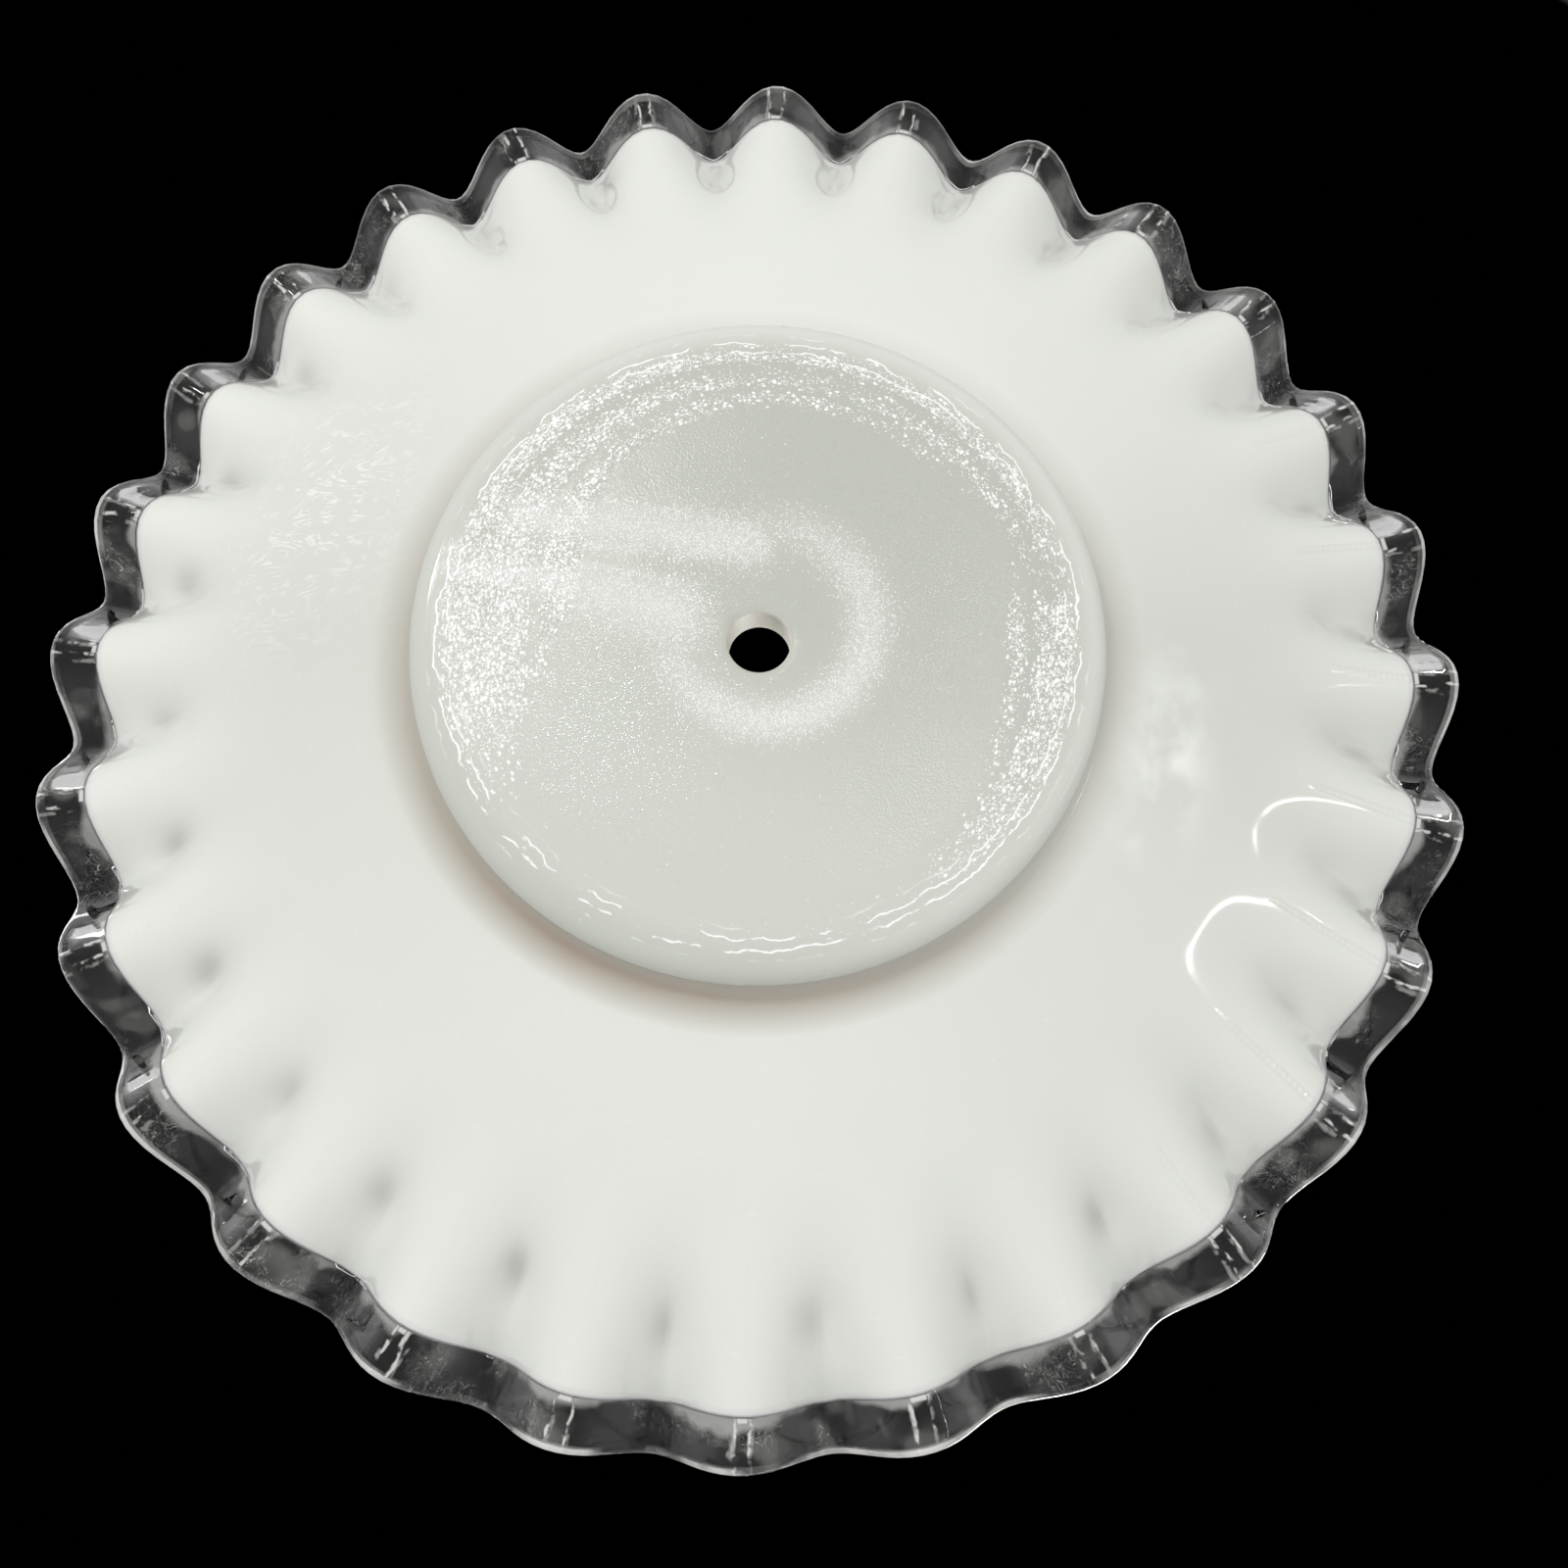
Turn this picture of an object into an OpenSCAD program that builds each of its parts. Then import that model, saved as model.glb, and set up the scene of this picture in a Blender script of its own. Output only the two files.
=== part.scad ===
// Round ruffled plate of opal glass with a low foot pad, a hand-crimped rim,
// a clear glass crest spun on the edge, and a hole drilled for a centre post.
// It stands on its foot: Z is up, and the origin is the centre of the resting face.

/* [Rim] */
// Radius of the rim out to the crest, on the low side of each crimp
tip_r = 163; // [150:1:175]
// Extra radius of the rim on the high side of each crimp
valley_reach = 2.8; // [0:0.2:4]
// Number of crimps round the rim
crimps = 28; // [20:1:32]
// Height of the rim's low tips above the table, at mid-glass
tip_z = 34.8; // [30:0.2:42]
// Rise of the rim from a low tip to a high one
crimp_rise = 17.4; // [8:0.2:19]
// Radius where the crimps fade into the plain plate
crimp_start_r = 104; // [100:1:112]
// How fast the crimps deepen towards the rim
crimp_power = 1.75; // [1.3:0.05:2.2]
// Depth of the finger dent at the inner end of each crimp
dent = 2.2; // [0:0.1:3]
// Radius at which the dents sit
dent_r = 136; // [130:1:142]
// Difference between the long and short radius of the hand-worked rim
oval = 1.2; // [0:0.1:1.5]

/* [Glass] */
// Thickness of the plate's wall
wall = 4.6; // [3.6:0.1:5]
// Thickness of the glass at the crest
crest_t = 3.6; // [3:0.1:4.2]
// Width of the clear crest along the rim
crest_w = 11; // [6:0.2:12]

/* [Foot and well] */
// Outer radius of the foot pad
foot_r = 69.8; // [62:0.2:74]
// Radius of the roll round the foot's lower edge
foot_roll = 4.1; // [3:0.1:4.5]
// Inner radius of the flat ring that the plate rests on
rest_inner_r = 54; // [48:1:58]
// How far the foot's face is hollowed at its centre
foot_hollow = 2.3; // [1:0.1:3]
// Height of the plate's underside where it leaves the foot
shoulder_z = 8.3; // [7:0.1:10]
// Radius of the corner between the foot's side and the plate
corner_r = 3.6; // [2.5:0.1:3.8]
// Height of the well's floor
floor_z = 11.3; // [10.5:0.1:13]

/* [Post hole] */
// Radius of the drilled hole
hole_r = 6.35; // [4:0.05:8]
// How far the hole was drilled off centre, towards the front
hole_off = 2.3; // [0:0.1:3]

/* [Hidden] */
$fn = 96;

steps_per_crimp = 8;
steps = crimps * steps_per_crimp;
first_tip = 194;             // direction of the first low tip, degrees
crimp_centre = [-0.3, 4.5];  // axis of the crimping tool, off the plate's own
rim_centre = [0.8, 1];       // centre of the rim's circle, off the foot's own
oval_dir = 110;              // direction of the rim's long radius, degrees
sharpness = 0.06;            // rounds the low ridges and tightens the high folds
join_r = 96;                 // where the crimped wall takes over from the plain plate
shoulder_r = foot_r + 6.6;   // where the plate's cone begins
cone_z = shoulder_z + wall / 2;
lip_slope = 0.12;            // fall of the rim's last stretch, mm in mm
crest_in_r = tip_r - crest_w;
cone_top_z = tip_z + lip_slope * crest_w;
cone_slope = (cone_top_z - cone_z) / (crest_in_r - shoulder_r);

skirt_r = [join_r, 104, 112, 120, 127, 132, 136, 140, 145, 149, crest_in_r];
crest_r = [crest_in_r, crest_in_r + crest_w * 0.35, crest_in_r + crest_w * 0.7, tip_r - crest_t / 2];
cap_angles = [-54, -18, 18, 54];

function clamp01(t) = max(0, min(1, t));
function ease(t) = t * t * (3 - 2 * t);

// Height of the plate's mid-surface along a low ridge
function ridge_z(r) = cone_z + cone_slope * (min(r, crest_in_r) - shoulder_r)
    - lip_slope * max(0, r - crest_in_r);

// Height of a high fold above the ridge beside it
function rise(r) = crimp_rise * pow(clamp01((r - crimp_start_r) / (crest_in_r - crimp_start_r)), crimp_power);

// Wave round the rim: 1 on a low ridge, -1 in a high fold
function wave(phase) = cos(phase) - sharpness * (cos(2 * phase) - 1);

function dent_z(r, phase) = dent * exp(-pow((r - dent_r) / 6, 2)) * pow((1 - cos(phase)) / 2, 4);

// Direction, seen from the foot's centre, of a ray from the crimping axis
function ray_turn(a) =
    let (d = [cos(a), sin(a)],
         b = crimp_centre * d,
         t = sqrt(b * b - crimp_centre * crimp_centre + tip_r * tip_r) - b,
         q = crimp_centre + t * d)
    atan2(q[1], q[0]);

// Point of the mid-surface at radius r on the ray at angle a round the crimping axis
function mid(a, r) =
    let (turn = ray_turn(a),
         phase = crimps * (a - first_tip),
         w = wave(phase),
         out = ease(clamp01((r - join_r) / (crest_in_r - join_r))),
         shift = rim_centre * [cos(turn), sin(turn)] + oval * cos(2 * (turn - oval_dir)),
         rr = r + out * (shift + valley_reach * (1 - w) / 2))
    [rr * cos(turn), rr * sin(turn), ridge_z(r) + rise(r) * (1 - w) / 2 + dent_z(r, phase)];

function unit(v) = v / norm(v);
function outward(a, r) = unit(mid(a, r + 0.2) - mid(a, r - 0.2));
function around(a, r) = unit(mid(a + 0.1, r) - mid(a - 0.1, r));
function up(a, r) = unit(cross(outward(a, r), around(a, r)));

function glass_t(r) = wall + (crest_t - wall) * clamp01((r - join_r) / (crest_in_r - join_r));

function upper(a, r) = mid(a, r) + up(a, r) * glass_t(r) / 2;
function lower(a, r) = mid(a, r) - up(a, r) * glass_t(r) / 2;

// Closed section across the crimped wall: up the top face, then back along the underside
function skirt_section(a) = concat(
    [for (r = skirt_r) upper(a, r)],
    [for (i = [len(skirt_r) - 1:-1:0]) lower(a, skirt_r[i])]);

// Closed section across the crest, with its round outer edge
function crest_section(a) =
    let (end = crest_r[len(crest_r) - 1],
         n = up(a, end),
         o = outward(a, end),
         m = mid(a, end))
    concat(
        [for (r = crest_r) upper(a, r)],
        [for (i = [len(cap_angles) - 1:-1:0])
            m + crest_t / 2 * (cos(cap_angles[i]) * o + sin(cap_angles[i]) * n)],
        [for (i = [len(crest_r) - 1:-1:0]) lower(a, crest_r[i])]);

// Skin over rings of n points each, closed both ways round
module ring_skin(points, n) {
    polyhedron(
        points,
        [for (j = [0:steps - 1], i = [0:n - 1])
            let (k = (j + 1) % steps, m = (i + 1) % n, p = j * n, q = k * n)
            each [[p + i, p + m, q + i], [p + m, q + m, q + i]]],
        convexity = 10);
}

function arc(centre, radius, from, to, count) =
    [for (i = [0:count]) let (a = from + (to - from) * i / count)
        centre + radius * [cos(a), sin(a)]];

// Half section of the plain middle: hollowed foot face, resting ring, roll, corner,
// cone and well, with its outer end square to the cone
module middle_profile() {
    hollow_r = (rest_inner_r * rest_inner_r + foot_hollow * foot_hollow) / (2 * foot_hollow);
    half_turn = asin(rest_inner_r / hollow_r);
    cone_angle = atan(cone_slope);
    n = [-sin(cone_angle), cos(cone_angle)];
    end = [join_r, ridge_z(join_r)];
    under_end = end - n * glass_t(join_r) / 2;
    over_end = end + n * glass_t(join_r) / 2;
    corner = [foot_r + corner_r, shoulder_z - corner_r];
    bend = [foot_r - 4, floor_z + 22];
    polygon(concat(
        arc([0, foot_hollow - hollow_r], hollow_r, 90, 90 - half_turn, 12),
        arc([foot_r - foot_roll, foot_roll], foot_roll, -90, 0, 8),
        arc(corner, corner_r, 180, 90 + cone_angle, 6),
        [under_end, over_end],
        arc(bend, 22, -90 + cone_angle, -90, 6),
        [[0, floor_z]]));
}

// White middle of the plate: foot pad, well and plain wall, with the drilled hole
module foot_and_well() {
    color("whitesmoke")
        difference() {
            rotate_extrude($fn = 180) middle_profile();
            translate([0, -hole_off, -1])
                cylinder(r = hole_r, h = floor_z + 2);
        }
}

// White wall beyond the middle, worked into crimps
module crimped_skirt() {
    color("whitesmoke")
        ring_skin([for (j = [0:steps - 1]) each skirt_section(360 * j / steps)], 2 * len(skirt_r));
}

// Clear glass spun on the edge of the white wall
module clear_crest() {
    color("lightcyan", 0.6)
        ring_skin([for (j = [0:steps - 1]) each crest_section(360 * j / steps)],
            2 * len(crest_r) + len(cap_angles));
}

foot_and_well();
crimped_skirt();
clear_crest();
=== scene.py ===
"""A ruffled opal glass plate on a low foot, with a clear glass crest and a drilled centre hole.

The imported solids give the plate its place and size. The white body and the crest are modelled
again here as finished glass: each section is spun round the plate's axis, then worked into crimps
by the same rule as the solids. Lengths are in millimetres until a mesh is finished.
"""

import logging
import math
from dataclasses import dataclass
from enum import Enum
from typing import Sequence

import bmesh
import bpy
import numpy as np
from mathutils import Matrix, Quaternion, Vector


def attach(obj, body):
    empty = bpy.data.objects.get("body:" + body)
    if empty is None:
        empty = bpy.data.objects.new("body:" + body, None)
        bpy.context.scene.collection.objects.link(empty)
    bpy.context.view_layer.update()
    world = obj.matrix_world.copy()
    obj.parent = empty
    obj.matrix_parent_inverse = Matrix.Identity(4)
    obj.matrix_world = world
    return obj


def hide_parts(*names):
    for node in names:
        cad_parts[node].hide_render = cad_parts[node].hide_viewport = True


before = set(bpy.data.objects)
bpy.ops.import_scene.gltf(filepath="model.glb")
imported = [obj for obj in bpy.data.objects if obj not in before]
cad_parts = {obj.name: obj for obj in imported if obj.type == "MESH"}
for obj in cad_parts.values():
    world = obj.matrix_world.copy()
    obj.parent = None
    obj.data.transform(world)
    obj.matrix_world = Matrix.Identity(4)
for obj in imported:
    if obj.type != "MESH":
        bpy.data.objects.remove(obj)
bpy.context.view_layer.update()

LOG = logging.getLogger("plate")
MM = 0.001
FULL_TURN = 2 * math.pi
Colour = tuple[float, float, float, float]
Profile = list[tuple[float, float]]
Socket = bpy.types.NodeSocket


def ease(t: np.ndarray) -> np.ndarray:
    """Smooth step from 0 to 1, flat at both ends."""
    t = np.clip(t, 0.0, 1.0)
    return t * t * (3.0 - 2.0 * t)


def arc(centre: tuple[float, float], radius: float, start: float, end: float, count: int) -> Profile:
    """Points of a round stretch of a profile.

    Args:
        centre: radius and height of the arc's centre.
        radius: radius of the arc.
        start: first angle, in degrees.
        end: last angle, in degrees.
        count: number of steps along it.

    Returns:
        count + 1 points, both ends included.
    """
    turns = [math.radians(start + (end - start) * i / count) for i in range(count + 1)]
    return [(centre[0] + radius * math.cos(t), centre[1] + radius * math.sin(t)) for t in turns]


def line(start: tuple[float, float], end: tuple[float, float], count: int) -> Profile:
    """Points along a straight stretch of a profile, the start left out."""
    steps = [i / count for i in range(1, count + 1)]
    return [(start[0] + (end[0] - start[0]) * t, start[1] + (end[1] - start[1]) * t) for t in steps]


@dataclass(frozen=True)
class PlateForm:
    """The sizes that the plate's maker works to, in millimetres and degrees."""

    tip_r: float = 163.0
    valley_reach: float = 2.8
    crimps: int = 28
    tip_z: float = 34.8
    crimp_rise: float = 17.05
    crimp_start_r: float = 104.0
    crimp_power: float = 1.75
    dent: float = 3.0
    dent_r: float = 133.0
    dent_w: float = 8.0
    oval: float = 1.2
    oval_dir: float = 110.0
    first_tip: float = 194.0
    crimp_centre: tuple[float, float] = (-0.3, 4.5)
    rim_centre: tuple[float, float] = (0.8, 1.0)
    roundness: float = 0.06
    wall: float = 4.6
    crest_t: float = 3.6
    crest_w: float = 11.0
    foot_r: float = 69.8
    foot_roll: float = 4.1
    rest_inner_r: float = 54.0
    foot_hollow: float = 2.3
    shoulder_z: float = 8.3
    corner_r: float = 3.6
    floor_z: float = 11.3
    hole_r: float = 6.35
    hole_off: float = 2.3
    join_r: float = 96.0
    lip_slope: float = 0.12
    steps: int = 448

    @property
    def crest_in_r(self) -> float:
        """Radius where the white glass ends and the clear crest begins."""
        return self.tip_r - self.crest_w

    @property
    def shoulder_r(self) -> float:
        """Radius where the plate's cone leaves the foot."""
        return self.foot_r + 6.6

    @property
    def cone_z(self) -> float:
        """Height of the cone's mid-surface at the shoulder."""
        return self.shoulder_z + self.wall / 2

    @property
    def cone_slope(self) -> float:
        """Rise of the cone, millimetre in millimetre."""
        top = self.tip_z + self.lip_slope * self.crest_w
        return (top - self.cone_z) / (self.crest_in_r - self.shoulder_r)

    @property
    def cone_angle(self) -> float:
        """Rise of the cone, in degrees."""
        return math.degrees(math.atan(self.cone_slope))

    def cone_height(self, r: float) -> float:
        """Height of the uncrimped cone's mid-surface at radius r."""
        return self.cone_z + self.cone_slope * (r - self.shoulder_r)

    def glass_t(self, r: float) -> float:
        """Thickness of the glass at radius r."""
        share = min(max((r - self.join_r) / (self.crest_in_r - self.join_r), 0.0), 1.0)
        return self.wall + (self.crest_t - self.wall) * share

    def on_cone(self, r: float, off: float) -> tuple[float, float]:
        """Radius and height of the point that stands off the cone at r, along its normal."""
        turn = math.radians(self.cone_angle)
        return r - off * math.sin(turn), self.cone_height(r) + off * math.cos(turn)

    def turned(self, a: np.ndarray) -> np.ndarray:
        """Turns angles round the crimping tool's axis into angles round the plate's own.

        Args:
            a: angles round the tool's axis, in radians.

        Returns:
            The angles round the plate's axis, in radians.
        """
        centre = np.array(self.crimp_centre)
        ray = np.stack([np.cos(a), np.sin(a)], axis=1)
        b = ray @ centre
        reach = np.sqrt(b * b - centre @ centre + self.tip_r**2) - b
        foot = centre + ray * reach[:, None]
        return np.arctan2(foot[:, 1], foot[:, 0])

    def mid(self, a: np.ndarray, r: np.ndarray) -> np.ndarray:
        """Points of the crimped mid-surface.

        Args:
            a: angles round the crimping tool's axis, in radians.
            r: radii of the same points before crimping.

        Returns:
            One row of x, y, z for each point.
        """
        turn = self.turned(a)
        phase = self.crimps * (a - math.radians(self.first_tip))
        wave = np.cos(phase) - self.roundness * (np.cos(2 * phase) - 1)
        fold = (1 - wave) / 2
        out = ease((r - self.join_r) / (self.crest_in_r - self.join_r))
        shift = self.rim_centre[0] * np.cos(turn) + self.rim_centre[1] * np.sin(turn)
        shift = shift + self.oval * np.cos(2 * (turn - math.radians(self.oval_dir)))
        rr = r + out * (shift + self.valley_reach * fold)
        grown = np.clip((r - self.crimp_start_r) / (self.crest_in_r - self.crimp_start_r), 0, 1)
        ridge = self.cone_z + self.cone_slope * (np.minimum(r, self.crest_in_r) - self.shoulder_r)
        ridge = ridge - self.lip_slope * np.maximum(0, r - self.crest_in_r)
        pressed = ((1 - np.cos(phase)) / 2) ** 4
        pit = self.dent * np.exp(-(((r - self.dent_r) / self.dent_w) ** 2)) * pressed
        z = ridge + self.crimp_rise * grown**self.crimp_power * fold + pit
        return np.stack([rr * np.cos(turn), rr * np.sin(turn), z], axis=1)

    def up(self, a: np.ndarray, r: np.ndarray) -> np.ndarray:
        """Unit normals of the crimped mid-surface, on the well's side.

        Args:
            a: angles round the crimping tool's axis, in radians.
            r: radii of the same points before crimping.

        Returns:
            One row of x, y, z for each point.
        """
        step, turn_step = 0.2, 0.002
        out = self.mid(a, r + step) - self.mid(a, r - step)
        along = self.mid(a + turn_step, r) - self.mid(a - turn_step, r)
        normal = np.cross(out, along)
        return normal / np.linalg.norm(normal, axis=1)[:, None]

    def crimp(
        self, points: np.ndarray, off: np.ndarray, station: np.ndarray, a: np.ndarray
    ) -> np.ndarray:
        """Works the plain cone into crimps.

        Args:
            points: the spun points, which stay where they are inside the join.
            off: how far each stands off the mid-surface.
            station: the radius of each point's foot on the mid-surface.
            a: the angle of each point round the axis.

        Returns:
            The points of the crimped glass.
        """
        worked = self.mid(a, station) + self.up(a, station) * off[:, None]
        return np.where((station > self.join_r)[:, None], worked, points)


class Mark(Enum):
    """Marks that pressing, crimping, grinding and use leave, and masks of painted light and shade,
    each a mesh attribute from 0 to 1.
    """

    RUN = "run"
    PAD = "pad"
    FOOT_GREY_AND_SHADE = "foot"
    ROLL = "roll"
    CREASE_SHADOW = "crease_shadow"
    FROST_AND_GLITTER = "frost"
    SATIN_AND_SHEEN = "satin"
    GLINT_LINES = "lines"
    RIDGE = "ridge"
    PIT_SHADE = "pit"
    GROUND = "ground"
    WRINKLE_AND_SHIMMER = "wrinkle"
    PAINTED_REFLECTION = "painted_reflection"
    TUCK = "tuck"


def bell(x: np.ndarray, width: float) -> np.ndarray:
    """Bell curve, 1 at 0."""
    return np.exp(-((x / width) ** 2))


def round_table(a: np.ndarray, table: dict[int, float]) -> np.ndarray:
    """Looks up a value that changes round the plate.

    Args:
        a: angles, in radians.
        table: values at angles in degrees.

    Returns:
        The value at each angle.
    """
    return np.interp(np.degrees(a), list(table), list(table.values()), period=360)


class PressedMarks:
    """Where the marks and the painted light and shade lie on the body, worked out before the wall is
    crimped.

    Radii, heights and places are in millimetres. The tables give values round the plate, at
    angles in degrees.
    """

    pad_r: float = 65.8
    pad_z: float = 4.2
    line_start_r: float = 58.5
    corner_r: float = 72.0
    arc_gap: float = 3.15
    frost_share: dict[int, float] = {
        -165: 0.9, -150: 0.7, -135: 0.35, -120: 0.04, -40: 0.02, -28: 0.25, -20: 0.7, 0: 0.95,
        50: 0.95, 70: 0.9, 90: 0.8, 130: 0.85, 150: 0.75, 165: 0.45, 172: 0.12, 178: 0.8,
    }
    frost_from: dict[int, float] = {
        -180: 50, -150: 52, -130: 56, -60: 60, -28: 52, -15: 44, 10: 38, 30: 42, 50: 47, 90: 50,
        130: 51, 160: 54,
    }
    frost_gap: dict[int, float] = {0: 44, 30: 49, 60: 51, 90: 53, 130: 52.5, 180: 54, 270: 54}
    pit_at: dict[int, float] = {
        -160: 139, -120: 135, -80: 134, -60: 130, -28: 131, 0: 134, 30: 136.5, 60: 141, 90: 139,
        170: 140,
    }
    # Strength of the painted contact shadow round the corner, strongest towards -y.
    crease_shadow_share: dict[int, float] = {
        -150: 0.35, -120: 0.85, -90: 1.1, -60: 1.3, -30: 1.0, 0: 0.7, 30: 0.45, 90: 0.1, 150: 0.2,
        180: 0.5,
    }
    # Painted shade on the foot's roll: greyer towards -y, paler towards +y.
    roll_shade_share: dict[int, float] = {
        0: 0.71, 30: 0.53, 60: 0.41, 90: 0.34, 120: 0.37, 150: 0.39, 180: 0.48, 210: 0.57, 240: 0.62,
        270: 0.92, 300: 0.96, 330: 0.87,
    }
    # Painted shade on the wall: greyest at its two sides, +x and -x.
    wall_shade_share: dict[int, float] = {
        0: 0.47, 30: 0.27, 60: 0.08, 90: 0.0, 120: 0.0, 150: 0.12, 180: 0.45, 195: 0.42,
        210: 0.26, 240: 0.15, 270: 0.02, 300: 0.12, 330: 0.28,
    }
    line_share: dict[int, float] = {
        -180: 0.95, -150: 0.95, -120: 0.9, -90: 0.9, -60: 0.85, -30: 0.9, 0: 1.0, 40: 1.0, 90: 0.8,
        130: 0.9, 160: 0.8,
    }

    def __init__(
        self, form: PlateForm, co: np.ndarray, station: np.ndarray, off: np.ndarray
    ) -> None:
        """Keeps the points and where they stand on the plate.

        Args:
            form: the plate's sizes.
            co: one row of x, y, z for each point of the uncrimped body.
            station: the radius of each point's foot on the mid-surface.
            off: how far each stands off the mid-surface.
        """
        self.form = form
        self.x, self.y, self.z = co.T
        self.r = np.hypot(self.x, self.y)
        self.a = np.arctan2(self.y, self.x)
        self.station = station
        self.under = np.where(self.r < form.shoulder_r, self.z < form.shoulder_z, off < 0)
        self.phase = form.crimps * (self.a - math.radians(form.first_tip))

    def pad(self) -> np.ndarray:
        """The foot's pressed face."""
        low = ease(self.pad_z - self.z)
        return self.under * low * ease((self.pad_r - self.r) / 1.6)

    def foot(self) -> np.ndarray:
        """How grey the glass looks: most in the thick foot, with painted shade on the disc, the roll
        and the wall.

        Returns:
            The mark at each point.
        """
        inner = ease((67.5 - self.r) / 8)
        # Painted shade: the disc grows paler towards -y and +x.
        corner = ease((10 - self.y + 0.35 * self.x) / 55)
        disc = inner * (1 - 0.37 * corner)
        # Painted shade: the roll greyer towards -y, paler towards +y.
        roll = (1 - inner) * ease((72.5 - self.r) / 3) * round_table(self.a, self.roll_shade_share)
        # Painted shade: the wall greyer at its two sides.
        wall = ease((self.r - 69.5) / 3) * ease((150 - self.station) / 55)
        return self.under * (disc + roll + wall * round_table(self.a, self.wall_shade_share))

    def roll(self) -> np.ndarray:
        """The foot's rounded edge."""
        return self.under * ease(self.r - 65.5) * ease(71 - self.r)

    def crease_shadow(self) -> np.ndarray:
        """The corner under the plate, beside the foot, where a painted contact shadow lies,
        strongest towards -y.
        """
        away = np.hypot(self.r - self.corner_r, (self.z - self.form.shoulder_z) * 1.3)
        return self.under * bell(away, 4.2) * round_table(self.a, self.crease_shadow_share)

    def frost(self) -> np.ndarray:
        """Coarse chill marks, in a broken ring inside the foot's edge, whitened as painted glitter.

        Returns:
            The mark at each point.
        """
        start = round_table(self.a, self.frost_from)
        ring = ease((self.r - start + 2) / 3) * ease((63.6 - self.r) / 1.6)
        gap = bell(self.r - round_table(self.a, self.frost_gap), 1.5)
        gap = np.maximum(gap, 0.9 * bell(self.r - 57.6, 1.3) * ease(np.cos(self.a - 1.7) * 2))
        arcs = 0.5 - 0.5 * np.cos(FULL_TURN * (self.r - 60.4) / self.arc_gap)
        arcs = 1 - 0.85 * arcs * bell(np.degrees(self.a) - 98, 48)
        return self.pad() * ring * round_table(self.a, self.frost_share) * arcs * (1 - 0.95 * gap)

    def satin(self) -> np.ndarray:
        """Fine chill marks that curl round the hole and fan out to one side, rougher and whitened as
        a painted sheen.

        Returns:
            The mark at each point.
        """
        away = np.hypot(self.x + 2, self.y - 3)
        curl = bell(away - 20.0, 4.5) * (0.62 + 0.38 * np.cos(self.a + 2.3))
        upper = bell(self.y - 20 - 0.05 * self.x, 4.5)
        upper = upper * ease((self.x + 8) / 12) * ease((56 - self.x) / 8)
        spread = np.maximum(8.5 - 0.09 * self.x, 3.0)
        lower = bell(self.y - 2.5 - 0.16 * self.x, spread) * ease((self.x - 6) / 12)
        cleft = bell(self.y - 14.5 + 0.03 * self.x, 1.6) * ease((self.x - 2) / 10)
        return self.pad() * np.maximum(np.maximum(curl, upper), lower) * (1 - 0.7 * cleft)

    def lines(self) -> np.ndarray:
        """Thin chill lines along the foot's edge, whitened as painted glints."""
        ring = ease((self.r - self.line_start_r) / 3) * ease((self.pad_r - self.r) / 0.8)
        return self.pad() * ring * round_table(self.a, self.line_share)

    def ridge(self) -> np.ndarray:
        """The outer stretch of the wall, where ridges on one side drew into small ripples.

        Returns:
            The mark at each point.
        """
        side = 0.3 + 0.7 * ease(1.8 - np.abs((np.degrees(self.a) + 360) % 360 - 195) / 32)
        start = 119 + 4 * np.sin(5.3 * self.a)
        return self.under * side * ease((self.station - start) / 8)

    def pit(self) -> np.ndarray:
        """Where the crimping tool pressed into each fold, never quite in its middle; the glass is
        painted darker there as shade in the pits.

        Returns:
            The mark at each point.
        """
        number = np.floor(self.phase / FULL_TURN)
        beside = np.cos(self.phase - 0.45 - 0.35 * np.sin(2.4 * number))
        share = 0.8 + 0.2 * np.sin(1.7 * number)
        away = self.station - round_table(self.a, self.pit_at) - 1.5 * np.sin(3.1 * number)
        return self.under * share * bell(away, 5.0) * ((1 - beside) / 2) ** 9

    def ground(self) -> np.ndarray:
        """The drilled wall of the hole."""
        return ease((self.form.hole_r + 0.5 - self.r) / 0.3)

    def wrinkle(self) -> np.ndarray:
        """A patch of wood-like wrinkles on one side of the wall, whitened as painted shimmer."""
        return self.under * bell(self.station - 101, 17) * bell(np.degrees(self.a) - 19, 16)

    def painted_reflection(self) -> np.ndarray:
        """A patch beside the foot, on the other side, whitened as a painted reflection."""
        turn = (np.degrees(self.a) + 360) % 360 - 198
        return self.under * bell(self.station - 86, 8) * bell(turn, 13)

    def tuck(self) -> np.ndarray:
        """The white glass's edge, which thins out inside the clear crest."""
        return ease((self.station - self.form.crest_in_r + 1.6) / 1.4)

    def all(self) -> dict[Mark, np.ndarray]:
        """Every mark's values."""
        return {
            Mark.RUN: self.station * MM,
            Mark.PAD: self.pad(),
            Mark.FOOT_GREY_AND_SHADE: self.foot(),
            Mark.ROLL: self.roll(),
            Mark.CREASE_SHADOW: self.crease_shadow(),
            Mark.FROST_AND_GLITTER: self.frost(),
            Mark.SATIN_AND_SHEEN: self.satin(),
            Mark.GLINT_LINES: self.lines(),
            Mark.RIDGE: self.ridge(),
            Mark.PIT_SHADE: self.pit(),
            Mark.GROUND: self.ground(),
            Mark.WRINKLE_AND_SHIMMER: self.wrinkle(),
            Mark.PAINTED_REFLECTION: self.painted_reflection(),
            Mark.TUCK: self.tuck(),
        }


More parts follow.
